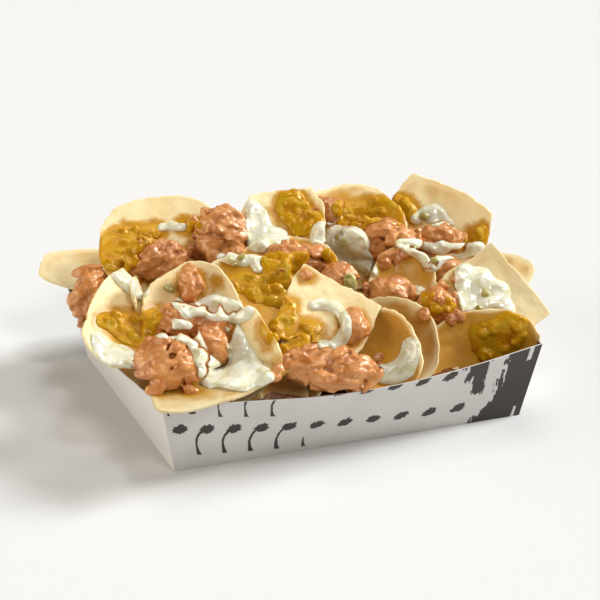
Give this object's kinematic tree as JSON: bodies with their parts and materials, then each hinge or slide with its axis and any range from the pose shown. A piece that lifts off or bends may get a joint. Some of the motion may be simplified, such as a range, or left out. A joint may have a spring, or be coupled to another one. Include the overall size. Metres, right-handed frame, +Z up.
{
  "type": "nachos in a board tray",
  "caption": "Loaded nachos: curled corn chips heaped in a tapered printed board tray, topped with shredded meat, green chilli relish and drizzled cream sauce.",
  "frame": {"origin": "centre of the tray's flat underside", "axes": "+X along the tray's long side, -Y towards the front of the tray, +Z up"},
  "size_m": [0.24, 0.1764, 0.0855],
  "materials": {
    "tray": "white coated board with dark printed marks",
    "chip": "dry blistered fried corn, pale cream-yellow with golden patches",
    "meat": "moist shredded meat in a thin sauce",
    "relish": "wet translucent golden-green chilli relish",
    "cream": "smooth glossy off-white sauce with green flecks",
    "bed": "sauce-stained chips and meat in the heap's depth"
  },
  "bodies": {
    "root": {"tray": "tray", "chip_back_left": "chip", "chip_left_tip": "chip", "chip_left_bowl": "chip", "chip_left_arch": "chip", "chip_left_curl": "chip", "chip_left_glazed": "chip", "chip_front_strip": "chip", "chip_front_square": "chip", "chip_front_middle": "chip", "chip_front_cup": "chip", "chip_front_cup_behind": "chip", "chip_right_front": "chip", "chip_right_big": "chip", "chip_right_tip": "chip", "chip_back_right": "chip", "chip_back_middle": "chip", "chip_top": "chip", "chip_centre_fold": "chip", "chip_centre_left": "chip", "chip_behind_left": "chip", "chip_behind_middle": "chip", "chip_behind_right": "chip", "chip_right_back": "chip", "meat_left_rim": "meat", "meat_back_left": "meat", "meat_peak": "meat", "meat_arch_streak": "meat", "meat_left_ridge": "meat", "meat_front_left": "meat", "meat_left_hook": "meat", "meat_front_rim": "meat", "meat_back_bit": "meat", "meat_back_band": "meat", "meat_right_band": "meat", "meat_centre": "meat", "meat_centre_bit": "meat", "meat_fold_block": "meat", "meat_ring_bit": "meat", "meat_right_gap": "meat", "meat_cup_gap": "meat", "relish_back_left": "relish", "relish_top": "relish", "relish_back_middle": "relish", "relish_slice": "relish", "relish_centre": "relish", "relish_left_glazed": "relish", "relish_front_middle": "relish", "relish_left_bowl": "relish", "relish_right_front": "relish", "cream_left_back": "cream", "cream_left_bowl": "cream", "cream_left_arch": "cream", "cream_front_square": "cream", "cream_top": "cream", "cream_middle": "cream", "cream_front_cup": "cream", "cream_right_band": "cream", "cream_right_big": "cream", "bed": "bed"}
  },
  "joints": []
}
